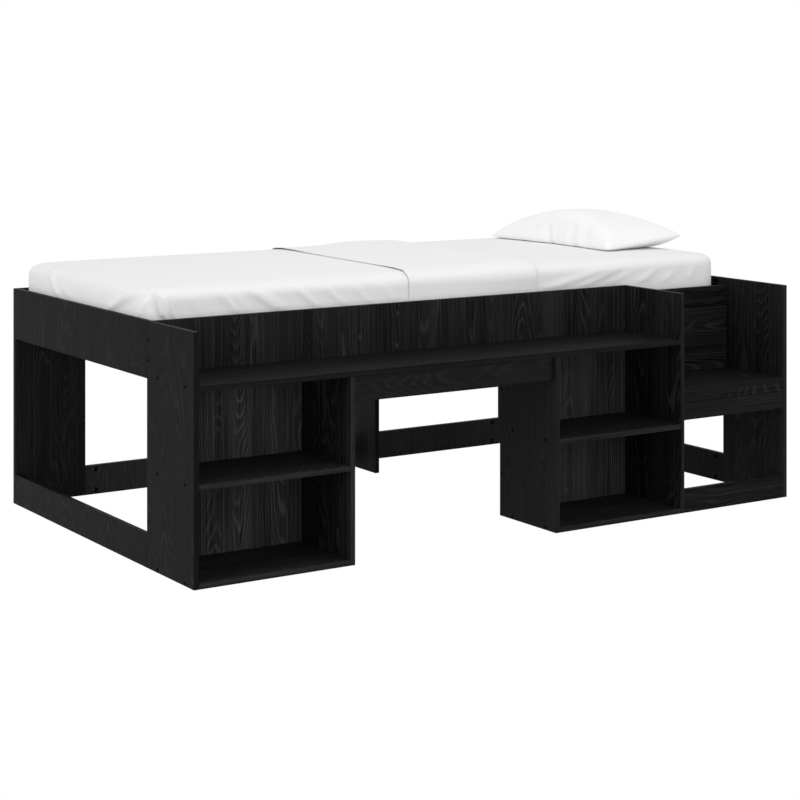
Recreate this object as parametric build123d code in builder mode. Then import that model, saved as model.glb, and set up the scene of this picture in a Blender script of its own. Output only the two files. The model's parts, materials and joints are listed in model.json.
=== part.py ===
from build123d import *
import os

# A black pine bed with open shelf units, a desk gap and a seat built into its front.
# Units are millimetres. +Z is up, the shelves face -Y and the foot end is at -X.
# The origin is at floor level in the middle of the bed.

os.makedirs("parts", exist_ok=True)

# Boards
board = 15                   # thickness of every solid pine board
arris = 0.8                  # small bevel along the edges of a board

# Mattress, which sets the size of the bed
mattress_length = 2000
mattress_width = 900
mattress_height = 184
mattress_end_gap = 3
mattress_side_gap = 9

# Heights above the floor, and the widths of upright boards
bed_height = 652
side_rail_height = 152
low_rail_height = 90
back_leg_width = 230
middle_leg_width = 203
middle_leg_from_foot = 1160
unit_depth = 273

# Shelf units, desk gap and seat, counted from the foot end
left_unit_width = 478
desk_width = 667
right_unit_width = 478
middle_shelf_height = 250    # floor to the underside of the middle shelves
apron_height = 70
apron_setback = 15
seat_height = 370
seat_apron_height = 80
seat_rail_height = 70
head_rail_drop = 22          # the rail behind the seat is lower than the bed's top edge

# Slatted base
bearer_depth = 20
bearer_height = 30
bearer_lift = 2              # bearer above the underside of the side rail
slat_count = 14
slat_width = 70
slat_thickness = 15
slat_end_slip = 3
slat_end_margin = 22
webbing_width = 25
webbing_thickness = 1.2
webbing_inset = 160

# Fixings are small and many, so few flat sides stand in for their round outlines
head_sides = 10
shank_sides = 6
slip = 0.15                  # room round a screw, bolt, cam or dowel in its hole

# Screws through the uprights into shelves, backs and rails
screw_radius = 3
screw_length = 48
screw_head_radius = 5
screw_head_height = 2.5
screw_sunk = 0.4
screw_front_inset = 50
screw_back_inset = 63
back_screw_height = 125
rail_screw_pitch = 54
leg_screw_pitch = 50

# Cam locks at the ends of rails, and the bolts that they pull
cam_radius = 7.5
cam_depth = 12
cam_from_end = 34
cam_edge_inset = 13
head_rail_cam_inset = 40     # these keep clear of the screws in the tall panel
cam_slot_width = 2
cam_slot_depth = 3
cam_sunk = 0.4
bolt_radius = 3
bolt_into_mate = 11

# Dowels
dowel_radius = 4
dowel_into_end = 20          # depth in the end grain of a board
dowel_into_face = 10         # depth in the broad face of the next board

# Mattress as it lies, dressed: a little under its nominal size
bedding_inset = 5
soft_gap = 0.3
mattress_corner = 75
mattress_edge = 42
mattress_base_edge = 22
mattress_crown = 10
mattress_end_rise = 40       # how fast the crown climbs from the ends of the mattress
mattress_side_bow = 4

# Sheets
sheet_thickness = 1.2
sheet_hem = 60               # the fitted sheet is turned in under the mattress
top_sheet_thickness = 1.6
top_sheet_length = 1290      # foot of the mattress to the fold of the cuff
top_sheet_tuck = 130         # how far it hangs between the mattress and the rails
cuff_length = 440

# Pillow
pillow_length = 640
pillow_width = 305
pillow_height = 112
pillow_seam_height = 38      # the side seams are lifted off the sheet
pillow_rest_inset = 46       # the underside starts to lift this far inside the seams
pillow_shoulder_inset = 92
pillow_shoulder_height = 97
pillow_cheek_swell = 11      # how full the pillow is between its seams and its shoulders
pillow_draw_in = 13          # the sides are drawn in between the corners
pillow_head_gap = 14
pillow_side_gap = 187

# Sizes that follow from the ones above
inner_length = mattress_length + 2 * mattress_end_gap
inner_width = mattress_width + 2 * mattress_side_gap
bed_length = inner_length + 2 * board
bed_depth = unit_depth + inner_width + board
shelf_depth = unit_depth - board
shelf_underside = bed_height - side_rail_height

foot_end = -bed_length / 2
head_end = bed_length / 2
front = -bed_depth / 2
back = bed_depth / 2
rail_front = front + shelf_depth
rail_back = front + unit_depth
back_face = back - board

foot_inner = foot_end + board
head_inner = head_end - board
divider_face = foot_end + left_unit_width
right_unit_face = divider_face + desk_width
tall_face = right_unit_face + right_unit_width
middle_leg_face = foot_end + middle_leg_from_foot
head_rail_top = bed_height - head_rail_drop
seat_underside = seat_height - board

bearer_bottom = shelf_underside + bearer_lift
slat_bottom = bearer_bottom + bearer_height
slat_top = slat_bottom + slat_thickness
sheet_bottom = slat_top + webbing_thickness + soft_gap
mattress_bottom = sheet_bottom + sheet_thickness + soft_gap
mattress_top = mattress_bottom + mattress_height


def end_plane(x):
    """Plane square to the length of the bed: its x runs back and its y runs up."""
    return Plane(origin=(x, 0, 0), x_dir=(0, 1, 0), z_dir=(1, 0, 0))


def long_plane(y):
    """Plane along the bed: its x runs to the head, its y up, and it looks forward."""
    return Plane(origin=(0, y, 0), x_dir=(1, 0, 0), z_dir=(0, -1, 0))


def area(u_low, u_high, v_low, v_high):
    """Draw a rectangle between two corners of the sketch."""
    with Locations(((u_low + u_high) / 2, (v_low + v_high) / 2)):
        Rectangle(u_high - u_low, v_high - v_low)


def break_edges(piece):
    """Bevel the edges of a plain board."""
    chamfer(piece.edges(), arris)


def keep(piece, name):
    """Label a finished piece and write it to its own file."""
    piece.part.label = name
    export_step(piece.part, "parts/" + name + ".step")


# Where the fastenings are

def screw_place(x, y, z, outward):
    """Place of a screw's head: outward is the way the head faces."""
    return Plane(origin=(x, y, z), z_dir=outward)


def cam_place(x, y, z, inward, towards_mate):
    """Place of a cam: it opens inward, and its bolt runs towards the next board."""
    return Plane(origin=(x, y, z), x_dir=towards_mate, z_dir=inward)


TO_FOOT, TO_HEAD = (-1, 0, 0), (1, 0, 0)
TO_FRONT, TO_BACK = (0, -1, 0), (0, 1, 0)

shelf_screw_depths = (front + screw_front_inset, rail_back - screw_back_inset)
rail_centre = rail_back - board / 2
back_screw_heights = (back_screw_height, shelf_underside - back_screw_height)
rail_middle = (shelf_underside + bed_height) / 2
rail_screw_heights = (rail_middle - rail_screw_pitch / 2, rail_middle + rail_screw_pitch / 2)


def unit_screws(x, outward, heights):
    """Two screws into the end of each shelf, and two into the back board."""
    shelves = [screw_place(x, y, z, outward) for z in heights for y in shelf_screw_depths]
    backs = [screw_place(x, rail_centre, z, outward) for z in back_screw_heights]
    return shelves + backs


def rail_screws(x, outward):
    """Two screws into the end of the front side rail."""
    return [screw_place(x, rail_centre, z, outward) for z in rail_screw_heights]


low_shelf_heights = (board / 2, middle_shelf_height + board / 2)
all_shelf_heights = low_shelf_heights + (shelf_underside + board / 2,)

foot_screws = unit_screws(foot_end, TO_FOOT, all_shelf_heights) + rail_screws(foot_end, TO_FOOT)
divider_screws = unit_screws(divider_face, TO_HEAD, low_shelf_heights)
right_side_screws = unit_screws(right_unit_face, TO_FOOT, low_shelf_heights)
tall_screws = unit_screws(tall_face, TO_HEAD, all_shelf_heights) + rail_screws(tall_face, TO_HEAD)
seat_screws = [
    screw_place(head_end, y, seat_height - board / 2, TO_HEAD) for y in shelf_screw_depths
]
middle_leg_centre = middle_leg_face + board / 2
leg_screws = [
    screw_place(middle_leg_centre, back, low_rail_height / 2 + side * leg_screw_pitch / 2, TO_BACK)
    for side in (-1, 1)
]
all_screws = (
    foot_screws + divider_screws + right_side_screws + tall_screws + seat_screws + leg_screws
)


def near_edges(low, high, inset=cam_edge_inset):
    """Heights of two cams, near the lower and the upper edge of a board."""
    return (low + inset, high - inset)


def end_board_cams(x, inward, heights):
    """Cams of a foot or head board, which joins the front post and the back leg."""
    places = []
    for z in heights:
        places.append(cam_place(x, rail_back + cam_from_end, z, inward, TO_FRONT))
        places.append(cam_place(x, back_face - cam_from_end, z, inward, TO_BACK))
    return places


def long_board_cams(edges, y, opens, heights):
    """Cams near both ends of a board that runs along the bed."""
    places = []
    for z in heights:
        places.append(cam_place(edges[0] + cam_from_end, y, z, opens, TO_FOOT))
        places.append(cam_place(edges[1] - cam_from_end, y, z, opens, TO_HEAD))
    return places


side_rail_heights = near_edges(shelf_underside, bed_height)
low_rail_heights = near_edges(0, low_rail_height)

foot_top_cams = end_board_cams(foot_inner, TO_HEAD, side_rail_heights)
foot_low_cams = end_board_cams(foot_inner, TO_HEAD, low_rail_heights)
head_top_cams = end_board_cams(head_inner, TO_FOOT, side_rail_heights)
head_low_cams = end_board_cams(head_inner, TO_FOOT, low_rail_heights)

leg_edges = (foot_end + back_leg_width, head_end - back_leg_width)
back_top_cams = long_board_cams(leg_edges, back_face, TO_FRONT, side_rail_heights)
back_low_cams = long_board_cams(leg_edges, back_face, TO_FRONT, low_rail_heights)

desk_edges = (divider_face, right_unit_face)
apron_front = front + apron_setback
apron_bottom = shelf_underside - apron_height
apron_middle = (apron_bottom + shelf_underside) / 2
apron_cams = long_board_cams(desk_edges, apron_front + board, TO_BACK, [apron_middle])

seat_edges = (tall_face, head_inner)
seat_apron_bottom = seat_underside - seat_apron_height
seat_apron_middle = (seat_apron_bottom + seat_underside) / 2
seat_apron_cams = long_board_cams(seat_edges, front + board, TO_BACK, [seat_apron_middle])
seat_rail_cams = long_board_cams(seat_edges, front + board, TO_BACK, [seat_rail_height / 2])
head_rail_heights = near_edges(seat_underside, head_rail_top, head_rail_cam_inset)
head_rail_cams = long_board_cams(seat_edges, rail_back, TO_BACK, head_rail_heights)
all_cams = (
    foot_top_cams + foot_low_cams + head_top_cams + head_low_cams + back_top_cams
    + back_low_cams + apron_cams + seat_apron_cams + seat_rail_cams + head_rail_cams
)

shelf_dowels = [
    Plane(origin=(x, y, shelf_underside))
    for x in (divider_face - board / 2, right_unit_face + board / 2)
    for y in shelf_screw_depths
]
seat_dowels = [
    Plane(origin=(tall_face, y, seat_height - board / 2), z_dir=TO_FOOT)
    for y in shelf_screw_depths
]


def screw_form(top, room):
    """A screw below its head's place, from a depth of top, larger all round by room."""
    with BuildPart() as form:
        with BuildSketch(Plane.XY.offset(-top)):
            RegularPolygon(screw_head_radius + room, head_sides)
        extrude(amount=top - screw_sunk - screw_head_height - room)
        with BuildSketch(Plane.XY.offset(-top)):
            RegularPolygon(screw_radius + room, shank_sides)
        extrude(amount=top - screw_length - room)
    return form.part


def bolt_form(start, room):
    """A cam's bolt, from start out of the cam's centre into the next board."""
    with BuildPart() as form:
        with BuildSketch(Plane.YZ.offset(start)):
            with Locations((0, -board / 2)):
                RegularPolygon(bolt_radius + room, shank_sides)
        extrude(amount=cam_from_end + bolt_into_mate + room - start)
    return form.part


def dowel_form(room):
    """A dowel that stands in end grain below its place and in a broad face above it."""
    with BuildPart() as form:
        with BuildSketch(Plane.XY.offset(-dowel_into_end - room)):
            RegularPolygon(dowel_radius + room, shank_sides)
        extrude(amount=dowel_into_end + dowel_into_face + 2 * room)
    return form.part


with BuildPart() as cam_bore:
    with BuildSketch(Plane.XY):
        RegularPolygon(cam_radius + slip, head_sides)
    extrude(amount=-cam_depth)
    add(bolt_form(0, slip))

screw_bore = screw_form(0, slip)
dowel_bore = dowel_form(slip)


def cut(bore, places):
    """Cut the same bore into the board being made, at each place."""
    with Locations(*places):
        add(bore, mode=Mode.SUBTRACT)


# Foot end: a wide post at the front, and two boards from it to the back leg

with BuildPart() as foot_post:
    with BuildSketch(end_plane(foot_end)):
        area(front, rail_back, 0, bed_height)
    extrude(amount=board)
    break_edges(foot_post)
    cut(screw_bore, foot_screws)
    cut(cam_bore.part, foot_top_cams + foot_low_cams)
keep(foot_post, "foot_post")

with BuildPart() as foot_top_board:
    with BuildSketch(end_plane(foot_end)):
        area(rail_back, back_face, shelf_underside, bed_height)
    extrude(amount=board)
    break_edges(foot_top_board)
    cut(cam_bore.part, foot_top_cams)
keep(foot_top_board, "foot_top_board")

with BuildPart() as foot_bottom_rail:
    with BuildSketch(end_plane(foot_end)):
        area(rail_back, back_face, 0, low_rail_height)
    extrude(amount=board)
    break_edges(foot_bottom_rail)
    cut(cam_bore.part, foot_low_cams)
keep(foot_bottom_rail, "foot_bottom_rail")

# Head end: the mirror image of the foot end, without the shelf screws

with BuildPart() as head_post:
    with BuildSketch(end_plane(head_inner)):
        area(front, rail_back, 0, bed_height)
    extrude(amount=board)
    break_edges(head_post)
    cut(screw_bore, seat_screws)
    cut(cam_bore.part, head_top_cams + head_low_cams + seat_apron_cams + seat_rail_cams + head_rail_cams)
keep(head_post, "head_post")

with BuildPart() as head_top_board:
    with BuildSketch(end_plane(head_inner)):
        area(rail_back, back_face, shelf_underside, bed_height)
    extrude(amount=board)
    break_edges(head_top_board)
    cut(cam_bore.part, head_top_cams)
keep(head_top_board, "head_top_board")

with BuildPart() as head_bottom_rail:
    with BuildSketch(end_plane(head_inner)):
        area(rail_back, back_face, 0, low_rail_height)
    extrude(amount=board)
    break_edges(head_bottom_rail)
    cut(cam_bore.part, head_low_cams)
keep(head_bottom_rail, "head_bottom_rail")

# Back: wide leg boards at the corners, rails between them and a leg at mid-length

with BuildPart() as back_leg_left:
    with BuildSketch(long_plane(back)):
        area(foot_end, leg_edges[0], 0, bed_height)
    extrude(amount=board)
    break_edges(back_leg_left)
    cut(cam_bore.part, foot_top_cams + foot_low_cams + back_top_cams + back_low_cams)
keep(back_leg_left, "back_leg_left")

with BuildPart() as back_leg_right:
    with BuildSketch(long_plane(back)):
        area(leg_edges[1], head_end, 0, bed_height)
    extrude(amount=board)
    break_edges(back_leg_right)
    cut(cam_bore.part, head_top_cams + head_low_cams + back_top_cams + back_low_cams)
keep(back_leg_right, "back_leg_right")

with BuildPart() as back_top_rail:
    with BuildSketch(long_plane(back)):
        area(*leg_edges, shelf_underside, bed_height)
    extrude(amount=board)
    break_edges(back_top_rail)
    cut(cam_bore.part, back_top_cams)
keep(back_top_rail, "back_top_rail")

with BuildPart() as back_bottom_rail:
    with BuildSketch(long_plane(back)):
        area(*leg_edges, 0, low_rail_height)
    extrude(amount=board)
    break_edges(back_bottom_rail)
    cut(cam_bore.part, back_low_cams)
    cut(screw_bore, leg_screws)
keep(back_bottom_rail, "back_bottom_rail")

# The middle leg is notched round the slat bearer, which it holds up at mid-length
with BuildPart() as middle_leg:
    with BuildSketch(end_plane(middle_leg_face)):
        area(back_face - middle_leg_width, back_face, 0, slat_bottom)
        with Locations((back_face, slat_bottom)):
            Rectangle(
                bearer_depth + slip,
                bearer_height + slip,
                align=(Align.MAX, Align.MAX),
                mode=Mode.SUBTRACT,
            )
    extrude(amount=board)
    break_edges(middle_leg)
    cut(screw_bore, leg_screws)
keep(middle_leg, "middle_leg")

# Front rails beside the mattress, and the tall panel between them

with BuildPart() as front_side_rail:
    with BuildSketch(long_plane(rail_back)):
        area(foot_inner, tall_face - board, shelf_underside, bed_height)
    extrude(amount=board)
    break_edges(front_side_rail)
    cut(screw_bore, rail_screws(foot_end, TO_FOOT) + rail_screws(tall_face, TO_HEAD))
keep(front_side_rail, "front_side_rail")

with BuildPart() as head_side_rail:
    with BuildSketch(long_plane(rail_back)):
        area(*seat_edges, seat_underside, head_rail_top)
    extrude(amount=board)
    break_edges(head_side_rail)
    cut(cam_bore.part, head_rail_cams)
keep(head_side_rail, "head_side_rail")

with BuildPart() as tall_panel:
    with BuildSketch(end_plane(tall_face - board)):
        area(front, rail_back, 0, bed_height)
    extrude(amount=board)
    break_edges(tall_panel)
    cut(screw_bore, tall_screws)
    cut(cam_bore.part, seat_apron_cams + seat_rail_cams + head_rail_cams)
    cut(dowel_bore, seat_dowels)
keep(tall_panel, "tall_panel")

# Top shelf over both units, and the apron under it

with BuildPart() as top_shelf:
    with BuildSketch(Plane.XY.offset(shelf_underside)):
        area(foot_inner, tall_face - board, front, rail_front)
    extrude(amount=board)
    break_edges(top_shelf)
    cut(screw_bore, foot_screws + tall_screws)
    cut(dowel_bore, shelf_dowels)
keep(top_shelf, "top_shelf")

with BuildPart() as desk_apron:
    with BuildSketch(long_plane(apron_front + board)):
        area(*desk_edges, apron_bottom, shelf_underside)
    extrude(amount=board)
    break_edges(desk_apron)
    cut(cam_bore.part, apron_cams)
keep(desk_apron, "desk_apron")

# Uprights that face the desk gap

with BuildPart() as left_unit_divider:
    with BuildSketch(end_plane(divider_face - board)):
        area(front, rail_back, 0, shelf_underside)
    extrude(amount=board)
    break_edges(left_unit_divider)
    cut(screw_bore, divider_screws)
    cut(cam_bore.part, apron_cams)
    cut(dowel_bore, shelf_dowels)
keep(left_unit_divider, "left_unit_divider")

with BuildPart() as right_unit_side:
    with BuildSketch(end_plane(right_unit_face)):
        area(front, rail_back, 0, shelf_underside)
    extrude(amount=board)
    break_edges(right_unit_side)
    cut(screw_bore, right_side_screws)
    cut(cam_bore.part, apron_cams)
    cut(dowel_bore, shelf_dowels)
keep(right_unit_side, "right_unit_side")


def unit_boards(unit, x_low, x_high, screws):
    """Back, middle shelf and bottom board of one shelf unit, between its uprights."""
    with BuildPart() as unit_back:
        with BuildSketch(long_plane(rail_back)):
            area(x_low, x_high, 0, shelf_underside)
        extrude(amount=board)
        break_edges(unit_back)
        cut(screw_bore, screws)
    keep(unit_back, unit + "_back")

    for name, height in (("_middle_shelf", middle_shelf_height), ("_bottom", 0)):
        with BuildPart() as unit_shelf:
            with BuildSketch(Plane.XY.offset(height)):
                area(x_low, x_high, front, rail_front)
            extrude(amount=board)
            break_edges(unit_shelf)
            cut(screw_bore, screws)
        keep(unit_shelf, unit + name)


unit_boards("left_unit", foot_inner, divider_face - board, foot_screws + divider_screws)
unit_boards("right_unit", right_unit_face + board, tall_face - board, right_side_screws + tall_screws)

# Seat at the head end: a board, an apron under its front edge and a rail on the floor

with BuildPart() as seat_board:
    with BuildSketch(Plane.XY.offset(seat_underside)):
        area(*seat_edges, front, rail_front)
    extrude(amount=board)
    break_edges(seat_board)
    cut(screw_bore, seat_screws)
    cut(dowel_bore, seat_dowels)
keep(seat_board, "seat_board")

with BuildPart() as seat_apron:
    with BuildSketch(long_plane(front + board)):
        area(*seat_edges, seat_apron_bottom, seat_underside)
    extrude(amount=board)
    break_edges(seat_apron)
    cut(cam_bore.part, seat_apron_cams)
keep(seat_apron, "seat_apron")

with BuildPart() as seat_bottom_rail:
    with BuildSketch(long_plane(front + board)):
        area(*seat_edges, 0, seat_rail_height)
    extrude(amount=board)
    break_edges(seat_bottom_rail)
    cut(cam_bore.part, seat_rail_cams)
keep(seat_bottom_rail, "seat_bottom_rail")

# Slatted base: two bearers, the slats and the webbing that spaces them

for name, y_low in (
    ("slat_bearer_front", rail_back),
    ("slat_bearer_back", back_face - bearer_depth),
):
    with BuildPart() as bearer:
        with BuildSketch(Plane.XY.offset(bearer_bottom)):
            area(foot_inner, head_inner, y_low, y_low + bearer_depth)
        extrude(amount=bearer_height)
        break_edges(bearer)
    keep(bearer, name)

slat_run = inner_length - slat_width - 2 * slat_end_margin
slat_pitch = slat_run / (slat_count - 1)
first_slat = foot_inner + slat_end_margin
slat_front = rail_back + slat_end_slip
slat_back = back_face - slat_end_slip

for number in range(slat_count):
    slat_low = first_slat + number * slat_pitch
    with BuildPart() as slat:
        with BuildSketch(Plane.XY.offset(slat_bottom)):
            area(slat_low, slat_low + slat_width, slat_front, slat_back)
        extrude(amount=slat_thickness)
        break_edges(slat)
    keep(slat, f"slat_{number + 1:02d}")

with BuildPart() as slat_webbing:
    with BuildSketch(Plane.XY.offset(slat_top)):
        for y in (slat_front + webbing_inset, slat_back - webbing_inset):
            area(
                first_slat,
                first_slat + slat_run + slat_width,
                y - webbing_width / 2,
                y + webbing_width / 2,
            )
    extrude(amount=webbing_thickness)
keep(slat_webbing, "slat_webbing")

# Fixings

with BuildPart() as panel_screws:
    with Locations(*all_screws):
        add(screw_form(screw_sunk, 0))
keep(panel_screws, "panel_screws")

# A cam is open on the side of its bolt, and has a slot for a driver across its face
with BuildPart() as cam:
    with BuildSketch(Plane.XY.offset(-cam_sunk)):
        RegularPolygon(cam_radius, head_sides)
        with Locations((bolt_radius, 0)):
            Rectangle(
                cam_radius,
                2 * (bolt_radius + slip),
                align=(Align.MIN, Align.CENTER),
                mode=Mode.SUBTRACT,
            )
    extrude(amount=cam_sunk - cam_depth)
    with BuildSketch(Plane.XY.offset(-cam_sunk)):
        Rectangle(2 * cam_radius, cam_slot_width)
    extrude(amount=-cam_slot_depth, mode=Mode.SUBTRACT)

with BuildPart() as cam_locks:
    with Locations(*all_cams):
        add(cam.part)
keep(cam_locks, "cam_locks")

with BuildPart() as cam_bolts:
    with Locations(*all_cams):
        add(bolt_form(bolt_radius + slip, 0))
keep(cam_bolts, "cam_bolts")

with BuildPart() as dowels:
    with Locations(*shelf_dowels, *seat_dowels):
        add(dowel_form(0))
keep(dowels, "dowels")

# Bedding: a mattress, its fitted sheet, a top sheet with a turned-back cuff, and a pillow

mattress_y = (rail_back + back_face) / 2
half_length = mattress_length / 2 - bedding_inset
half_width = mattress_width / 2 - bedding_inset


def mattress_section(half, grow, rise):
    """Upright section of the mattress: bowed sides, rounded edges and a crowned top."""
    side = half - mattress_side_bow + grow
    bottom = mattress_bottom - grow
    shoulder = mattress_top - mattress_crown + grow
    waist = (bottom + shoulder) / 2
    with BuildSketch(mode=Mode.PRIVATE) as section:
        with BuildLine():
            base = Line((-side, bottom), (side, bottom))
            bow = ThreePointArc(base @ 1, (side + mattress_side_bow, waist), (side, shoulder))
            crown = ThreePointArc(bow @ 1, (0, shoulder + rise), (-side, shoulder))
            ThreePointArc(crown @ 1, (-side - mattress_side_bow, waist), base @ 0)
        make_face()
        fillet(section.vertices().group_by(Axis.Y)[0], mattress_base_edge + grow)
        fillet(section.vertices().group_by(Axis.Y)[-1], mattress_edge + grow)
    return section.sketch


def mattress_form(grow):
    """The mattress, made larger all round by the thickness of what is laid on it."""
    with BuildPart() as form:
        with BuildSketch(Plane.YZ):
            with Locations((mattress_y, 0)):
                add(mattress_section(half_width, grow, mattress_crown))
        extrude(amount=bed_length, both=True)
        with BuildSketch(Plane.XZ):
            add(mattress_section(half_length, grow, mattress_end_rise))
        extrude(amount=bed_depth, both=True, mode=Mode.INTERSECT)
        with BuildSketch(Plane.XY):
            with Locations((0, mattress_y)):
                RectangleRounded(
                    2 * (half_length + grow), 2 * (half_width + grow), mattress_corner + grow
                )
        extrude(amount=mattress_top + mattress_height, mode=Mode.INTERSECT)
    return form.part


with BuildPart() as mattress:
    add(mattress_form(0))
keep(mattress, "mattress")

sheet_outer = soft_gap + sheet_thickness
with BuildPart() as fitted_sheet:
    add(mattress_form(sheet_outer))
    add(mattress_form(soft_gap), mode=Mode.SUBTRACT)
    with BuildSketch(Plane.XY.offset(mattress_bottom)):
        with Locations((0, mattress_y)):
            Rectangle(2 * (half_length - sheet_hem), 2 * (half_width - sheet_hem))
    extrude(amount=-2 * sheet_outer, mode=Mode.SUBTRACT)
keep(fitted_sheet, "fitted_sheet")

# The top sheet ends at a fold, where it turns back over itself as the cuff
fold_x = top_sheet_length - half_length
hem_x = fold_x - cuff_length
tuck_z = mattress_top - mattress_crown - top_sheet_tuck
lower_inner = sheet_outer + soft_gap
lower_outer = lower_inner + top_sheet_thickness
cuff_inner = lower_outer + soft_gap
cuff_outer = cuff_inner + top_sheet_thickness


def layer(inner, outer, x_low, x_high):
    """What lies between two grown mattresses, from one line across the bed to another."""
    with BuildPart() as cloth:
        add(mattress_form(outer))
        add(mattress_form(inner), mode=Mode.SUBTRACT)
        with BuildSketch(Plane.XY.offset(tuck_z)):
            area(x_low, x_high, front, back)
        extrude(amount=mattress_height, mode=Mode.INTERSECT)
    return cloth.part


with BuildPart() as top_sheet:
    add(layer(lower_inner, lower_outer, foot_end, fold_x))
    add(layer(cuff_inner, cuff_outer, hem_x, fold_x))
    add(layer(lower_outer, cuff_inner, fold_x - top_sheet_thickness, fold_x))
keep(top_sheet, "top_sheet")

# The pillow is drawn as the mattress is, from two upright sections and an outline
pillow_x = head_inner - pillow_head_gap - pillow_width / 2
pillow_y = rail_back + pillow_side_gap + pillow_length / 2
pillow_bottom = mattress_top + sheet_outer + soft_gap


def pillow_section(half):
    """Upright section: flat where it rests, lifted to the seam at each side, and crowned."""
    rest = half - pillow_rest_inset
    shoulder = half - pillow_shoulder_inset
    cheek = (
        half - pillow_shoulder_inset / 2 + pillow_cheek_swell,
        (pillow_seam_height + pillow_shoulder_height) / 2 + pillow_cheek_swell,
    )
    with BuildSketch(mode=Mode.PRIVATE) as section:
        with BuildLine():
            base = Line((-rest, 0), (rest, 0))
            lift = Line(base @ 1, (half, pillow_seam_height))
            side = ThreePointArc(lift @ 1, cheek, (shoulder, pillow_shoulder_height))
            crown = ThreePointArc(side @ 1, (0, pillow_height), (-shoulder, pillow_shoulder_height))
            other = ThreePointArc(crown @ 1, (-cheek[0], cheek[1]), (-half, pillow_seam_height))
            Line(other @ 1, base @ 0)
        make_face()
    return section.sketch


with BuildPart() as pillow:
    with BuildSketch(Plane.YZ):
        with Locations((pillow_y, pillow_bottom)):
            add(pillow_section(pillow_length / 2))
    extrude(amount=bed_length, both=True)
    with BuildSketch(Plane.XZ):
        with Locations((pillow_x, pillow_bottom)):
            add(pillow_section(pillow_width / 2))
    extrude(amount=bed_depth, both=True, mode=Mode.INTERSECT)
    half_x, half_y = pillow_width / 2, pillow_length / 2
    with BuildSketch(Plane((pillow_x, pillow_y, pillow_bottom))):
        with BuildLine():
            ThreePointArc((-half_x, -half_y), (0, pillow_draw_in - half_y), (half_x, -half_y))
            ThreePointArc((half_x, -half_y), (half_x - pillow_draw_in, 0), (half_x, half_y))
            ThreePointArc((half_x, half_y), (0, half_y - pillow_draw_in), (-half_x, half_y))
            ThreePointArc((-half_x, half_y), (pillow_draw_in - half_x, 0), (-half_x, -half_y))
        make_face()
    extrude(amount=pillow_height, mode=Mode.INTERSECT)
keep(pillow, "pillow")
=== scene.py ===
# %% [markdown]
# A cabin bed of black pine boards, dressed with white cotton
#
# The boards, screws and cam fittings come ready made as the fixed frame, so this script gives
# them their finish. The mattress, the sheets and the pillow are modelled here, because cloth
# is shaped by folds and not by flat faces.

# %% Load the frame
import json
import math

import bmesh
import bpy
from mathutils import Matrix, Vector, noise


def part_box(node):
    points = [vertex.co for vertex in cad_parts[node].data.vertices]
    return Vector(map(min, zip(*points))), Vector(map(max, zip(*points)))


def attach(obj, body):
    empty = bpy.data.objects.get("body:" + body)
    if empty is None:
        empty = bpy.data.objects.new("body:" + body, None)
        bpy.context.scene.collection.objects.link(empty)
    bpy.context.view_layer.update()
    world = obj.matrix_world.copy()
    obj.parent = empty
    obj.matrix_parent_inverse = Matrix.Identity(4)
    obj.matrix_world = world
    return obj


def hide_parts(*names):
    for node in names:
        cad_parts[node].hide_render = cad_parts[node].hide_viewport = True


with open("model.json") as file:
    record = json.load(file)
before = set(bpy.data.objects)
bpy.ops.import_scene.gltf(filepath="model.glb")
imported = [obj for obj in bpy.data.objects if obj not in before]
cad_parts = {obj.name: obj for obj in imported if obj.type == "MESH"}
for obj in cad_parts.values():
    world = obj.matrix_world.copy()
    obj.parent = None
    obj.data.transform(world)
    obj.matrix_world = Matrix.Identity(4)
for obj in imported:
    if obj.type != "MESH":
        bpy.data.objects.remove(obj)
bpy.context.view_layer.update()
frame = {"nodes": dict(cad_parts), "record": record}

# %% [markdown]
# The camera stands low, in front of the foot end, at a height of about twice the bed's. It
# looks level, so all upright edges stay upright in the picture, and the lens is shifted
# down instead of being tilted. A long lens keeps the bed's far end nearly as large as its near end.

# %% Camera
CAMERA_PLACE = (-3.29387, -5.09597, 1.31341)
CAMERA_TURN = 0.57234
CAMERA_LENS = 89.33
CAMERA_SHIFT_UP = -0.41216

camera_data = bpy.data.cameras.new("camera")
camera_data.lens = CAMERA_LENS
camera_data.sensor_width = 36
camera_data.shift_y = CAMERA_SHIFT_UP
camera = bpy.data.objects.new("camera", camera_data)
camera.location = CAMERA_PLACE
camera.rotation_euler = (math.pi / 2, 0, -CAMERA_TURN)
bpy.context.scene.collection.objects.link(camera)
bpy.context.scene.camera = camera
bpy.context.scene.view_settings.view_transform = "Standard"
print("camera", camera.location[:], "lens", camera_data.lens)

# %% [markdown]
# Shader maths reads best as plain expressions. A small class wraps a socket, and each Python
# operator on it adds one Math node. The class that owns the node tree has one method that
# makes any other node: its settings are set first, then its inputs are filled or linked.

# %% Sockets that Python can calculate with
class Value:
    """An output socket of a shader node, with Python's operators as Math nodes."""

    def __init__(self, finish, socket):
        self.finish, self.socket = finish, socket

    def maths(self, operation, *values):
        return self.finish.add("ShaderNodeMath", {"operation": operation}, values)

    def __add__(self, other):
        return self.maths("ADD", self, other)

    def __sub__(self, other):
        return self.maths("SUBTRACT", self, other)

    def __rsub__(self, other):
        return self.maths("SUBTRACT", other, self)

    def __mul__(self, other):
        return self.maths("MULTIPLY", self, other)

    def __truediv__(self, other):
        return self.maths("DIVIDE", self, other)

    def __pow__(self, other):
        return self.maths("POWER", self, other)

    __radd__, __rmul__ = __add__, __mul__


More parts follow.
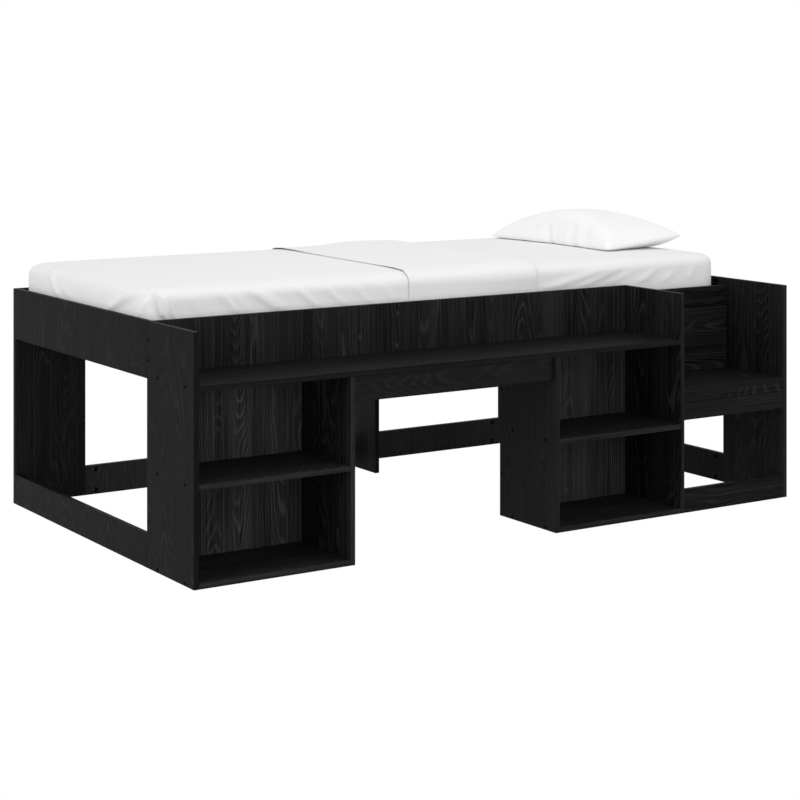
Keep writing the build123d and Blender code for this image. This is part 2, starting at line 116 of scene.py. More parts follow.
class Finish:
    """A material and its node tree, built round one Principled shader."""

    def __init__(self, name, **constants):
        self.material = bpy.data.materials.new(name)
        self.material.use_nodes = True
        self.tree = self.material.node_tree
        self.shader = self.tree.nodes["Principled BSDF"]
        for socket, value in constants.items():
            self.shader.inputs[socket.replace("_", " ")].default_value = value

    def add(self, kind, settings=None, inputs=(), output=0):
        """Make a node, set it up, fill its inputs by number or name, and give back an output."""
        node = self.tree.nodes.new(kind)
        for name, value in (settings or {}).items():
            setattr(node, name, value)
        pairs = inputs.items() if isinstance(inputs, dict) else enumerate(inputs)
        for key, value in pairs:
            if isinstance(value, Value):
                self.tree.links.new(value.socket, node.inputs[key])
            else:
                node.inputs[key].default_value = value
        return Value(self, node.outputs[output])

    def feed(self, **links):
        """Link values to the shader's own sockets, such as Base_Color."""
        for socket, value in links.items():
            self.tree.links.new(value.socket, self.shader.inputs[socket.replace("_", " ")])
        return self.material


# %% [markdown]
# A few patterns serve every finish here: the place on the piece, noise that can be stretched
# along the grain, a soft step between two values, a mix of two colours and a bump.

# %% Patterns that every finish uses
def object_place(finish):
    """X, Y and Z of the piece's own coordinates, in metres."""
    place = finish.add("ShaderNodeTexCoord", output="Object")
    parts = [finish.add("ShaderNodeSeparateXYZ", None, (place,), axis) for axis in range(3)]
    return place, parts


def vector(finish, *parts):
    return finish.add("ShaderNodeCombineXYZ", None, parts)


def soft_noise(finish, place, scale=1.0, detail=2.0, roughness=0.5):
    """Noise from 0 to 1 at a place, with a scale in repeats for each metre."""
    sizes = {"Vector": place, "Scale": scale, "Detail": detail, "Roughness": roughness}
    return finish.add("ShaderNodeTexNoise", None, sizes)


def step(finish, value, low, high):
    """0 below low, 1 above high and a smooth rise between them."""
    ends = {"Value": value, "From Min": low, "From Max": high}
    return finish.add("ShaderNodeMapRange", {"interpolation_type": "SMOOTHSTEP"}, ends)


def mix_colours(finish, factor, first, second):
    """A colour between two others. The Mix node keeps its colours in inputs 6 and 7."""
    colours = {0: factor, 6: first, 7: second}
    return finish.add("ShaderNodeMix", {"data_type": "RGBA"}, colours, 2)


def bump_of(finish, height, strength, distance):
    """Normals of a relief, with a strength and with its height in metres."""
    settings = {"Strength": strength, "Distance": distance, "Height": height}
    return finish.add("ShaderNodeBump", None, settings)


def grey(level):
    return (level, level, level, 1)


# %% [markdown]
# The floor is a wide pale sheet. It is plain white to the camera and to anything that mirrors
# it, which gives the clean background of a catalogue picture, so no shadow shows on it. To
# all other light it is a pale matt floor that lights the bed from below. The walls of the
# studio are the world's pale light.

# %% Floor and world
FLOOR_SIZE = 60
FLOOR_TONE = 0.8
WORLD_STRENGTH = 0.68

floor_mesh = bpy.data.meshes.new("studio_floor")
sheet = bmesh.new()
bmesh.ops.create_grid(sheet, x_segments=1, y_segments=1, size=FLOOR_SIZE / 2)
sheet.to_mesh(floor_mesh)
sheet.free()
floor = bpy.data.objects.new("studio_floor", floor_mesh)
bpy.context.scene.collection.objects.link(floor)


def seen_directly(finish):
    """1 for rays from the camera, from a mirror and through glass, and 0 for light on things."""
    rays = [
        finish.add("ShaderNodeLightPath", output=name)
        for name in ("Is Camera Ray", "Is Glossy Ray", "Is Transmission Ray")
    ]
    return rays[0].maths("MAXIMUM", rays[0].maths("MAXIMUM", rays[0], rays[1]), rays[2])


paint = Finish("studio_floor_paint", Roughness=0.9)
paint.shader.inputs["Base Color"].default_value = grey(FLOOR_TONE)
white = paint.add("ShaderNodeEmission", None, {"Color": grey(1), "Strength": 1.0})
shown = paint.tree.nodes.new("ShaderNodeMixShader")
output = paint.tree.nodes["Material Output"]
paint.tree.links.new(seen_directly(paint).socket, shown.inputs[0])
paint.tree.links.new(paint.shader.outputs[0], shown.inputs[1])
paint.tree.links.new(white.socket, shown.inputs[2])
paint.tree.links.new(shown.outputs[0], output.inputs[0])
floor_mesh.materials.append(paint.material)

world = bpy.data.worlds.new("studio")
world.use_nodes = True
bpy.context.scene.world = world


class Sky(Finish):
    """The world's node tree, which has a Background shader and no Principled one."""

    def __init__(self, world_block):
        self.material = world_block
        self.tree = world_block.node_tree
        self.shader = self.tree.nodes["Background"]


sky = Sky(world)
seen = seen_directly(sky)
sky.shader.inputs["Color"].default_value = grey(1)
sky.feed(Strength=seen * (1 - WORLD_STRENGTH) + WORLD_STRENGTH)
print("floor", FLOOR_SIZE, "m wide, world strength", WORLD_STRENGTH)

# %% [markdown]
# In the photograph the top of the bedding is the brightest, the foot end comes next and the
# front is a little darker. So a large soft lamp hangs over the bed, a second one stands at
# the foot end, on the camera's left, and a third one stands low in front, where it reaches
# into the open shelves.

# %% Lamps
def lamp(name, place, aim, size, power):
    """A square soft lamp that points at a place."""
    data = bpy.data.lights.new(name, "AREA")
    data.shape = "SQUARE"
    data.size = size
    data.energy = power
    holder = bpy.data.objects.new(name, data)
    holder.location = place
    holder.rotation_euler = (Vector(aim) - Vector(place)).to_track_quat("-Z", "Y").to_euler()
    bpy.context.scene.collection.objects.link(holder)


lamp("overhead_lamp", (0.2, -0.2, 3.6), (0, 0, 0.5), 2.4, 25)
lamp("foot_end_lamp", (-4.5, -1.0, 1.8), (0, 0, 0.4), 2.0, 39)
lamp("front_lamp", (-0.4, -4.6, 1.5), (0, 0, 0.4), 2.4, 44)
print("lamps", [light.name for light in bpy.data.lights])

# %% [markdown]
# Pine boards, stained black
#
# The boards are edge-glued panels: strips of pine about 10 cm wide, each from another tree, so
# the figure changes at every seam. A strip is sawn along the trunk, so its face cuts the
# year rings at a flat angle, which draws nested arches. The shader does the same as the
# saw: it works out how far each point of the strip is from the middle of its tree.
# Under the thin black lacquer the hard late wood stands up as fine ridges that catch light.

# %% Strips of the glued panel
STRIP_WIDTH = 0.098
RING_SPACING = 0.0027
WOOD_DARK = 0.0022
WOOD_LIGHT = 0.026

GRAIN_ALONG_BED = {
    "top_shelf", "desk_apron", "head_side_rail", "seat_board", "seat_apron", "seat_bottom_rail",
    "left_unit_middle_shelf", "left_unit_bottom", "right_unit_middle_shelf", "right_unit_bottom",
}


def board_axes(name):
    """The axes across the strips, along the grain and through the board, as numbers."""
    low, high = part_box(name)
    sides = high - low
    through = min(range(3), key=lambda axis: sides[axis])
    along = 0 if name in GRAIN_ALONG_BED else 2
    across = 3 - through - along
    return across, along, through


def strips(finish, across, shift, seed):
    """Place across the strip from its middle, and three random numbers of the strip."""
    count = (across + shift) / STRIP_WIDTH
    number = count.maths("FLOOR", count)
    inside = (count - number - 0.5) * STRIP_WIDTH
    noise_in = {"Vector": vector(finish, number, seed, 0.5)}
    scatter = {"noise_dimensions": "3D"}
    colour = finish.add("ShaderNodeTexWhiteNoise", scatter, noise_in, "Color")
    chances = [finish.add("ShaderNodeSeparateColor", None, (colour,), part) for part in range(3)]
    return inside, count - number, chances


print("strips", STRIP_WIDTH, "m wide, rings", RING_SPACING, "m apart")

# %% [markdown]
# The distance from the tree's middle gives the ring's number, and its fraction tells early
# from late wood. Slow noise makes the trunk uneven, and fast noise stretched along the
# grain draws the pores.

# %% Rings of the tree
def rings(finish, inside, along, through, chances):
    """0 in early wood, and 1 along the hard late wood of each ring."""
    wobble_at = vector(finish, inside * 9 + chances[0] * 40, along * 2.2, through * 9)
    wobble = soft_noise(finish, wobble_at, 1.0, 2.0) - 0.5
    jitter = soft_noise(finish, vector(finish, inside * 90, along * 16, through * 90)) - 0.5
    aside = inside + (chances[1] - 0.5) * 0.11 + wobble * 0.010 + jitter * 0.0014
    lean = (chances[2] - 0.5) * 0.10
    depth = along * lean + (chances[0] - 0.5) * 0.16 + through + wobble * 0.03
    distance = (aside * aside * 3.2 + depth * depth + 0.00004) ** 0.5
    count = distance / RING_SPACING
    fraction = count - count.maths("FLOOR", count)
    rise = step(finish, fraction, 0.50, 0.82)
    fall = 1 - step(finish, fraction, 0.86, 1.0)
    return rise * fall


def knots(finish, across, along, places):
    """1 in the middle of each knot, from places across and along the board."""
    mask = across * 0
    for u, v, radius in places:
        du, dv = across - u, (along - v) * 0.8
        distance = (du * du + dv * dv) ** 0.5
        mask = mask.maths("MAXIMUM", mask, 1 - step(finish, distance, radius * 0.5, radius * 1.3))
    return mask


# %% [markdown]
# One function finishes any board. It reads which way the board's faces and its grain run,
# and each board has its own seed, so that no two show the same tree. The weights say how
# much the rings, the pores and the streaks count in the board's colour. The lacquer's
# reflections are kept weaker than real ones, or the boards come out too pale here.

# %% Black pine for one board
PINE_REFLECTION = 0.03
RING_WEIGHT, PORE_WEIGHT, STREAK_WEIGHT = 0.60, 0.8, 1.1
STRIP_WEIGHT, SEAM_WEIGHT, KNOT_WEIGHT = 0.16, 0.25, 0.6
MEAN_SHADE = 0.36


def black_pine(name, seed, shift, knot_places, tone, contrast):
    """Material of one board, stained black and lacquered satin."""
    finish = Finish(name + "_pine", Specular_IOR_Level=PINE_REFLECTION)
    parts = object_place(finish)[1]
    across, along, through = (parts[axis] for axis in board_axes(name))
    inside, share, chances = strips(finish, across, shift, seed)
    ring = rings(finish, inside, along, through, chances)
    pore_at = vector(finish, across * 700, along * 9, through * 700)
    pores = soft_noise(finish, pore_at, 1.0, 3.0, 0.6)
    streak_at = vector(finish, across * 230, along * 1.6, through * 230)
    streaks = soft_noise(finish, streak_at, 1.0, 2.0, 0.55)
    patches = soft_noise(finish, vector(finish, across * 14, along * 3, through * 14), 1.0, 2.0)
    seam = step(finish, (share - 0.5).maths("ABSOLUTE", share - 0.5), 0.488, 0.497)
    knot = knots(finish, across, along, knot_places)

    late = ring * step(finish, patches, 0.25, 0.75)
    figure = RING_WEIGHT * (late - 0.25) + PORE_WEIGHT * (pores - 0.5)
    figure = figure + STREAK_WEIGHT * (streaks - 0.5)
    figure = figure + (chances[1] - 0.5) * STRIP_WEIGHT - seam * SEAM_WEIGHT
    shade = figure * contrast + MEAN_SHADE + knot * KNOT_WEIGHT
    shade = shade.maths("MAXIMUM", shade, 0)
    dark, light = grey(WOOD_DARK * tone), grey(WOOD_LIGHT * tone)
    colour = mix_colours(finish, shade.maths("MINIMUM", shade, 1), dark, light)
    relief = late * 0.55 + pores * 0.30 + streaks * 0.35 - seam * 0.6 + knot * 0.5
    rough = 0.50 + (pores - 0.5) * 0.18 - late * 0.08
    normal = bump_of(finish, relief, 0.55, 0.0009)
    return finish.feed(Base_Color=colour, Roughness=rough, Normal=normal)


def dress(name, material):
    """Give a CAD node its material."""
    slots = frame["nodes"][name].data.materials
    slots.clear()
    slots.append(material)


# %% [markdown]
# All boards are taken to have the same stain. This studio's lamps don't light each of them
# as the photograph's light does, so most boards have a factor on their colour. It was set
# until the board came out about as bright as in the photograph, so it stands for light
# and not for another stain. The second table does the same for the strength of the grain.
# The front rail also has three knots, where the photograph shows them.

# %% Boards finished
BOARD_TONES = {
    "left_unit_back": 4.2, "right_unit_back": 3.4, "front_side_rail": 1.5, "head_side_rail": 1.3,
    "head_post": 1.3, "head_top_board": 1.5, "tall_panel": 1.4, "back_bottom_rail": 3.2,
    "left_unit_divider": 1.6, "seat_apron": 0.9, "back_leg_left": 1.3, "back_leg_right": 1.4,
    "left_unit_middle_shelf": 1.8, "left_unit_bottom": 2.0, "right_unit_middle_shelf": 1.5,
    "right_unit_bottom": 1.7, "foot_post": 0.62, "foot_top_board": 0.62, "foot_bottom_rail": 0.62,
    "right_unit_side": 1.35, "desk_apron": 1.05, "top_shelf": 0.8, "seat_board": 0.85,
}
BOARD_CONTRASTS = {
    "foot_post": 0.5, "foot_top_board": 0.55, "foot_bottom_rail": 0.5, "right_unit_side": 0.5,
    "back_bottom_rail": 0.35, "desk_apron": 0.4, "top_shelf": 0.5, "seat_apron": 0.9,
    "head_post": 0.8, "back_leg_left": 0.6, "front_side_rail": 0.9, "left_unit_back": 0.85,
    "right_unit_back": 0.75, "tall_panel": 1.1,
}
RAIL_KNOTS = ((-0.244, 0.531, 0.006), (-0.367, 0.564, 0.006), (-0.240, 0.622, 0.005))
SEED_STEP, FIRST_SEED, STRIP_SHIFT = 1.7, 3, 0.03
board_names = [
    part["node"] for part in frame["record"]["subparts"]
    if part["material_slot"] == "black_stained_pine"
]
for number, name in enumerate(board_names):
    seed, shift = number * SEED_STEP + FIRST_SEED, STRIP_SHIFT * number
    knot_places = RAIL_KNOTS if name == "front_side_rail" else ()
    tone, contrast = BOARD_TONES.get(name, 1.0), BOARD_CONTRASTS.get(name, 1.0)
    dress(name, black_pine(name, seed, shift, knot_places, tone, contrast))
print("boards finished", len(board_names))

# %% [markdown]
# The slats and bearers lie out of sight under the mattress and are plain planed pine.
# The webbing is a woven strap, and the fixings are blackened or bright metal.

# %% Bare pine, webbing and metal
def bare_pine():
    finish = Finish("bare_pine", Roughness=0.6)
    x, y, z = object_place(finish)[1]
    long_way = vector(finish, x * 60, y * 5, z * 60)
    fibres = soft_noise(finish, long_way, 1.0, 4.0, 0.6)
    wave = finish.add("ShaderNodeTexWave", None, {
        "Vector": vector(finish, x * 30, y * 1.5, z * 30), "Scale": 1.0, "Distortion": 3.0,
        "Detail": 2.0,
    }, "Fac")
    light, dark = (0.76, 0.57, 0.36, 1), (0.55, 0.34, 0.17, 1)
    colour = mix_colours(finish, wave * 0.5 + fibres * 0.4, light, dark)
    return finish.feed(Base_Color=colour, Normal=bump_of(finish, fibres, 0.3, 0.0006))


def webbing():
    finish = Finish("strap_webbing", Roughness=0.8)
    x, y = object_place(finish)[1][:2]
    weave = (x * 2500).maths("SINE", x * 2500) * (y * 1900).maths("SINE", y * 1900)
    dark, light = (0.6, 0.59, 0.55, 1), (0.78, 0.77, 0.73, 1)
    colour = mix_colours(finish, weave * 0.5 + 0.5, dark, light)
    return finish.feed(Base_Color=colour, Normal=bump_of(finish, weave, 0.5, 0.0004))


def metal(name, level, roughness, metallic):
    finish = Finish(name, Metallic=metallic, Specular_IOR_Level=0.0)
    grain = soft_noise(finish, object_place(finish)[0], 900.0, 3.0)
    colour = mix_colours(finish, grain, grey(level * 0.75), grey(level * 1.25))
    return finish.feed(Base_Color=colour, Roughness=roughness + (grain - 0.5) * 0.2)


pine, strap = bare_pine(), webbing()
for part in frame["record"]["subparts"]:
    if part["material_slot"] == "bare_pine":
        dress(part["node"], pine)
dress("slat_webbing", strap)
dress("panel_screws", metal("black_screw", 0.006, 0.45, 0.0))
dress("cam_locks", metal("cast_cam", 0.006, 0.5, 0.0))
dress("cam_bolts", metal("bright_steel", 0.3, 0.35, 1.0))
print("finishes so far", len(bpy.data.materials))

# %% [markdown]
# White cotton
#
# Plain woven cotton is matt, and its threads are finer than the picture can show, so the
# weave is a bump on the cloth's own flat coordinates, with a little crinkle over it. The
# crinkle also darkens the cotton's colour a little in its hollows, as painted shade. The
# mattress's ticking is knitted, with a quilted pattern of soft waves.

# %% Cotton
WEAVE, QUILTING = 5200, 26


def cotton(name, level, crinkle):
    finish = Finish(name, Roughness=0.92, Sheen_Weight=0.12, Specular_IOR_Level=0.2)
    flat = finish.add("ShaderNodeUVMap", {"uv_map": "flat"})
    u = finish.add("ShaderNodeSeparateXYZ", None, (flat,), 0)
    v = finish.add("ShaderNodeSeparateXYZ", None, (flat,), 1)
    warp = u.maths("SINE", u * WEAVE)
    weft = v.maths("SINE", v * WEAVE)
    slub = soft_noise(finish, vector(finish, u * 500, v * 30, 0.0), 1.0, 2.0)
    crinkles_and_painted_shade = soft_noise(finish, flat, 130.0, 3.0, 0.6)
    # The crinkle noise makes the colour a little darker in the crinkles' hollows and lighter on
    # their tops, which is painted shade. The slub's part is the threads' own tone.
    shade = 0.5 + (crinkles_and_painted_shade - 0.5) * 0.4 + (slub - 0.5) * 0.4
    colour = mix_colours(finish, shade, grey(level * 0.975), grey(level * 1.02))
    relief = (warp * weft) * 0.10 + slub * 0.2 + crinkles_and_painted_shade * crinkle
    return finish.feed(Base_Color=colour, Normal=bump_of(finish, relief, 0.4, 0.001))


sheet_cotton = cotton("sheet_cotton", 0.84, 1.0)
pillow_cotton = cotton("pillow_cotton", 0.90, 1.0)


def mattress_ticking():
    finish = Finish("mattress_ticking", Roughness=0.85)
    place, (x, y, _) = object_place(finish)
    u, v = x * QUILTING + y * QUILTING, x * QUILTING - y * QUILTING
    quilting = u.maths("SINE", u) * v.maths("SINE", v)
    fine = soft_noise(finish, place, 700.0, 2.0)
    colour = mix_colours(finish, fine, grey(0.76), grey(0.84))
    relief = quilting.maths("ABSOLUTE", quilting) + fine * 0.05
    return finish.feed(Base_Color=colour, Normal=bump_of(finish, relief, 0.6, 0.004))


ticking = mattress_ticking()

# %% [markdown]
# The mattress gives the bedding its form
#
# Its sizes come from the frame's soft solid. Its plan is a rectangle with round corners, its
# top edge is rounded, and the top is slightly crowned. Everything that lies on it is the
# same skin, a little further out.

# %% Sizes of the mattress
MATTRESS_LOW, MATTRESS_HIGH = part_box("mattress")
MIDDLE = (MATTRESS_LOW + MATTRESS_HIGH) / 2
HALF_LENGTH = (MATTRESS_HIGH.x - MATTRESS_LOW.x) / 2
HALF_WIDTH = (MATTRESS_HIGH.y - MATTRESS_LOW.y) / 2
CROWN = 0.010
EDGE_RADIUS = 0.028
PLAN_RADIUS = 0.058
SHOULDER = MATTRESS_HIGH.z - CROWN
RAIL_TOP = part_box("front_side_rail")[1].z
print("mattress", round(HALF_LENGTH * 2, 3), "by", round(HALF_WIDTH * 2, 3))


def outline_point(share, half_x, half_y, radius):
    """Point and outward direction on a round-cornered rectangle, at a share of its length."""
    straight_x, straight_y = 2 * (half_x - radius), 2 * (half_y - radius)
    arc = math.pi / 2 * radius
    sides = [straight_x, arc, straight_y, arc, straight_x, arc, straight_y, arc]
    starts = [
        (-half_x + radius, -half_y), (half_x - radius, -half_y + radius),
        (half_x, -half_y + radius), (half_x - radius, half_y - radius),
        (half_x - radius, half_y), (-half_x + radius, half_y - radius),
        (-half_x, half_y - radius), (-half_x + radius, -half_y + radius),
    ]
    run = (share % 1) * sum(sides)
    for number, side in enumerate(sides):
        if run <= side or number == 7:
            break
        run -= side
    facing = math.radians(90 * (number // 2) - 90)
    place = Vector(starts[number])
    if number % 2:
        facing += run / radius
        out = Vector((math.cos(facing), math.sin(facing)))
        return place + out * radius, out
    out = Vector((math.cos(facing), math.sin(facing)))
    return place + Vector((-out.y, out.x)) * run, out


# %% [markdown]
# A skin is made as a tailor would lay a cloth: a flat grid covers the top, and rows are added
# round its rim that bend over the edge and hang down the sides. Each point keeps its flat
# place as a UV, so the weave follows the cloth.

# %% A cloth skin over the mattress
def crown_height(x, y):
    """Height of the crowned top over its shoulder."""
    across = 1 - min(1, abs(y) / HALF_WIDTH) ** 8
    ends = 1 - min(1, abs(x) / HALF_LENGTH) ** 14
    return CROWN * across * ends


print("crown", round(crown_height(0, 0), 4), "m high in the middle")

# %% [markdown]
# The rim's rows are added one by one. Near one corner the cloth is divided more finely, for a
# narrow pleat. The folds come last: they push the cloth out along lines, and fade out just
# below the rails' top, where the boards hold the cloth in.

# %% Laying the skin and raising its folds
CLOTH_CELL = 0.0085
HANG_CELL = 0.006
CORNER_REACH, CORNER_ROUNDS = 0.12, 30
FINE_REACH = 0.075
FOLD_START, FOLD_SPAN, FOLD_REACH = 0.12, 0.82, 2.6
FOLD_FOOT, FOLD_EASE = RAIL_TOP - 0.004, 0.014


def skin(grow, hang, folds=(), fine_spot=None):
    """A sheet over the mattress: its top, the rounded edge and what hangs below it."""
    half_x, half_y = HALF_LENGTH - EDGE_RADIUS, HALF_WIDTH - EDGE_RADIUS
    radius = PLAN_RADIUS - EDGE_RADIUS
    cloth = bmesh.new()
    columns, rows = round(2 * half_x / CLOTH_CELL), round(2 * half_y / CLOTH_CELL)
    bmesh.ops.create_grid(cloth, x_segments=columns, y_segments=rows, size=1)
    bmesh.ops.scale(cloth, vec=(half_x, half_y, 1), verts=cloth.verts)
    homes = {}
    for vert in cloth.verts:
        if vert.is_boundary:
            homes[vert] = outline_point(rim_share(vert.co, half_x, half_y), half_x, half_y, radius)
    for vert, (place, _) in homes.items():
        vert.co.xy = place
    corner = [
        vert for vert in cloth.verts if not vert.is_boundary
        and abs(vert.co.x) > half_x - CORNER_REACH and abs(vert.co.y) > half_y - CORNER_REACH
    ]
    for _ in range(CORNER_ROUNDS):
        bmesh.ops.smooth_vert(cloth, verts=corner, factor=0.5, use_axis_x=True, use_axis_y=True)
    flat_place = {vert: vert.co.copy() for vert in cloth.verts}
    reach = EDGE_RADIUS * math.pi / 2 + hang
    count = round(reach / HANG_CELL)
    edges = [edge for edge in cloth.edges if edge.is_boundary]
    for row in range(1, count + 1):
        made = bmesh.ops.extrude_edge_only(cloth, edges=edges)["geom"]
        edges = [item for item in made if isinstance(item, bmesh.types.BMEdge) and item.is_boundary]
        moved = {}
        for vert in (item for item in made if isinstance(item, bmesh.types.BMVert)):
            old = next(e.other_vert(vert) for e in vert.link_edges if e.other_vert(vert) in homes)
            place, out = moved[vert] = homes[old]
            flat_place[vert] = Vector((*(place + out * reach * row / count), 0))
        homes = moved
    flat = cloth.loops.layers.uv.new("flat")
    for face in cloth.faces:
        for loop in face.loops:
            loop[flat].uv = flat_place[loop.vert].xy
    for vert, spot in flat_place.items():
        vert.co = fold_over(spot, half_x, half_y, radius, grow)
    bmesh.ops.recalc_face_normals(cloth, faces=cloth.faces)
    if fine_spot:
        near = {vert for vert in cloth.verts if (vert.co - Vector(fine_spot)).length < FINE_REACH}
        edges = [edge for edge in cloth.edges if near.issuperset(edge.verts)]
        bmesh.ops.subdivide_edges(cloth, edges=edges, cuts=2, use_grid_fill=True)
    raise_folds(cloth, folds)
    return cloth


def raise_folds(cloth, folds):
    """Push the cloth out along each fold: a crease line with a width and a height."""
    cloth.normal_update()
    pushes = {}
    for start, stop, width, height in folds:
        start, stop = Vector(start), Vector(stop)
        line = stop - start
        for vert in cloth.verts:
            share = max(0.0, min(1.0, (vert.co - start).dot(line) / line.length_squared))
            away = (vert.co - start - line * share).length / width
            if away < FOLD_REACH:
                body = math.sin(math.pi * (FOLD_START + FOLD_SPAN * share)) ** 0.7
                free = max(0.0, min(1.0, (vert.co.z - FOLD_FOOT) / FOLD_EASE))
                push = height * math.exp(-away * away) * body * free
                pushes[vert] = pushes.get(vert, 0.0) + push
    for vert, push in pushes.items():
        vert.co += vert.normal * push


# %% [markdown]
# Two helpers place a point of the flat cloth: one says where on the rim it is, and the other
# bends the cloth over the mattress's rounded edge. The last one makes an object of a form.

# %% Bending the cloth over the edge
def rim_share(place, half_x, half_y):
    """Share of the way round a rectangle, from the near left corner and anticlockwise."""
    total = 4 * (half_x + half_y)
    x, y = place.x, place.y
    if abs(y + half_y) < 1e-6:
        return (x + half_x) / total
    if abs(x - half_x) < 1e-6:
        return (2 * half_x + y + half_y) / total
    if abs(y - half_y) < 1e-6:
        return (2 * half_x + 2 * half_y + half_x - x) / total
    return (4 * half_x + 2 * half_y + half_y - y) / total


def fold_over(spot, half_x, half_y, radius, grow):
    """Where a point of the flat cloth lies once the cloth is bent over the mattress."""
    core_x = max(-half_x + radius, min(half_x - radius, spot.x))
    core_y = max(-half_y + radius, min(half_y - radius, spot.y))
    aside = Vector((spot.x - core_x, spot.y - core_y))
    past = aside.length - radius
    bend = EDGE_RADIUS + grow
    if past <= 0:
        height = SHOULDER + grow + crown_height(spot.x, spot.y)
        return Vector((MIDDLE.x + spot.x, MIDDLE.y + spot.y, height))
    out = aside.normalized()
    start = Vector((core_x, core_y)) + out * radius
    angle = min(past / EDGE_RADIUS, math.pi / 2)
    drop = max(0.0, past - EDGE_RADIUS * math.pi / 2)
    place = start + out * bend * math.sin(angle)
    height = SHOULDER + grow - bend * (1 - math.cos(angle)) - drop
    return Vector((MIDDLE.x + place.x, MIDDLE.y + place.y, height))


def put(name, mesh_form, body, material):
    """Make an object of a bmesh, with its body, finish and slot."""
    mesh = bpy.data.meshes.new(name)
    mesh_form.to_mesh(mesh)
    mesh_form.free()
    mesh.shade_smooth()
    piece = bpy.data.objects.new(name, mesh)
    bpy.context.scene.collection.objects.link(piece)
    mesh.materials.append(material)
    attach(piece, body)
    print(name, len(mesh.vertices), "points")
    return piece


# %% [markdown]
# Where the cloth is pulled, folds run from the mattress's corners and edges down behind the
# boards. The photograph shows them at the foot end and along the near side. The other
# sides are out of its sight and get folds of the same kind.

# %% Folds of the sheets
NEAR_Y, FAR_Y = MATTRESS_LOW.y - 0.004, MATTRESS_HIGH.y + 0.004
FOOT_X, HEAD_X = MATTRESS_LOW.x - 0.004, MATTRESS_HIGH.x + 0.004


def on_side(y, *folds):
    """Folds on a long side, from (x, z, x, z, width, height)."""
    return [((a, y, b), (c, y, d), width, height) for a, b, c, d, width, height in folds]


def on_end(x, *folds):
    """Folds on an end, from (y, z, y, z, width, height)."""
    return [((x, a, b), (x, c, d), width, height) for a, b, c, d, width, height in folds]


HEAD_FOLDS = on_side(
    NEAR_Y,
    (0.300, 0.655, 0.585, 0.712, 0.012, 0.0060), (0.415, 0.648, 0.600, 0.704, 0.010, 0.0055),
    (0.520, 0.650, 0.640, 0.690, 0.009, 0.0030), (0.640, 0.640, 0.735, 0.690, 0.011, 0.0050),
    (0.755, 0.640, 0.805, 0.680, 0.010, 0.0045), (0.860, 0.640, 0.900, 0.700, 0.012, 0.0030),
) + on_side(
    FAR_Y,
    (0.330, 0.655, 0.540, 0.708, 0.012, 0.0060), (0.450, 0.648, 0.660, 0.700, 0.011, 0.0055),
    (0.690, 0.645, 0.790, 0.695, 0.011, 0.0045),
) + on_end(
    HEAD_X,
    (-0.250, 0.650, -0.130, 0.705, 0.012, 0.0050), (-0.120, 0.650, 0.060, 0.700, 0.012, 0.0045),
    (0.220, 0.700, 0.400, 0.650, 0.012, 0.0050),
)
FOOT_FOLDS = on_side(
    NEAR_Y,
    (-0.815, 0.730, -0.735, 0.648, 0.010, 0.0070), (-0.770, 0.722, -0.700, 0.648, 0.007, 0.0035),
    (-0.715, 0.722, -0.600, 0.646, 0.010, 0.0080), (-0.660, 0.706, -0.580, 0.648, 0.007, 0.0035),
    (-0.565, 0.716, -0.480, 0.646, 0.009, 0.0060), (-0.470, 0.708, -0.395, 0.648, 0.008, 0.0045),
    (-0.370, 0.704, -0.310, 0.650, 0.008, 0.0030), (-0.280, 0.704, -0.230, 0.650, 0.008, 0.0025),
    (-0.885, 0.715, -0.855, 0.650, 0.008, 0.0040),
) + on_end(
    FOOT_X,
    (-0.285, 0.740, -0.060, 0.662, 0.0085, 0.0160), (-0.275, 0.726, -0.020, 0.640, 0.008, 0.0050),
    (-0.305, 0.730, -0.235, 0.644, 0.008, 0.0085), (-0.322, 0.722, -0.290, 0.644, 0.007, 0.0065),
    (0.385, 0.740, 0.285, 0.644, 0.010, 0.0100), (0.300, 0.690, 0.180, 0.650, 0.010, 0.0030),
) + on_side(
    FAR_Y,
    (-0.800, 0.728, -0.720, 0.655, 0.010, 0.0065), (-0.650, 0.716, -0.560, 0.650, 0.010, 0.0060),
    (-0.500, 0.706, -0.420, 0.655, 0.010, 0.0040),
)
PLEAT = [
    ((-0.981, NEAR_Y + 0.022, 0.726), (-0.956, NEAR_Y + 0.006, 0.640), 0.0058, 0.0230),
    ((-0.957, NEAR_Y + 0.005, 0.716), (-0.932, NEAR_Y + 0.004, 0.640), 0.0055, 0.0130),
]
PLEAT_SPOT = (-0.955, NEAR_Y + 0.007, 0.690)

print("fold lines", len(HEAD_FOLDS), len(FOOT_FOLDS), len(PLEAT))

# %% [markdown]
# The top sheet is a second skin that ends at a fold, where it turns back over itself as a
# cuff: the same cloth goes up round the fold and back to a hem. The fold and the hem both
# run a little askew across the bed. The cuff stands off the sheet most just behind its fold,
# and gapes at the two ends of its hem. Each hump below has its middle and its spread.

# %% The cuff of the top sheet
TOP_GROW, TOP_THICK, TOP_HANG = 0.0036, 0.0013, 0.112
FOLD_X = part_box("top_sheet")[1].x
FOLD_LINE_X, HEM_LINE_X = FOLD_X - 0.010, FOLD_X - 0.462
FOLD_SLANT, HEM_SLANT = 0.022, 0.045
FOLD_ROUNDING = 0.014
LAYER_LIFT = TOP_THICK * 1.10
CUFF_RISE, CUFF_PLACE = 0.0075, (0.06, 0.16)
FAR_GAPE, FAR_END = 0.0034, (FAR_Y - 0.08, 0.16)
NEAR_GAPE, NEAR_END = 0.0028, (NEAR_Y + 0.05, 0.09)
HEM_PLACE = (0, 0.05)
FAR_BUMP, BUMP_ASIDE, BUMP_BACK = 0.006, (FAR_Y - 0.10, 0.12), (0.18, 0.09)
TUCKED_SHARE, FREE_HEIGHT = 0.15, 0.04


def hump(at, middle, spread):
    """1 at the middle, falling smoothly towards 0 on both sides."""
    return math.exp(-((at - middle) / spread) ** 2)


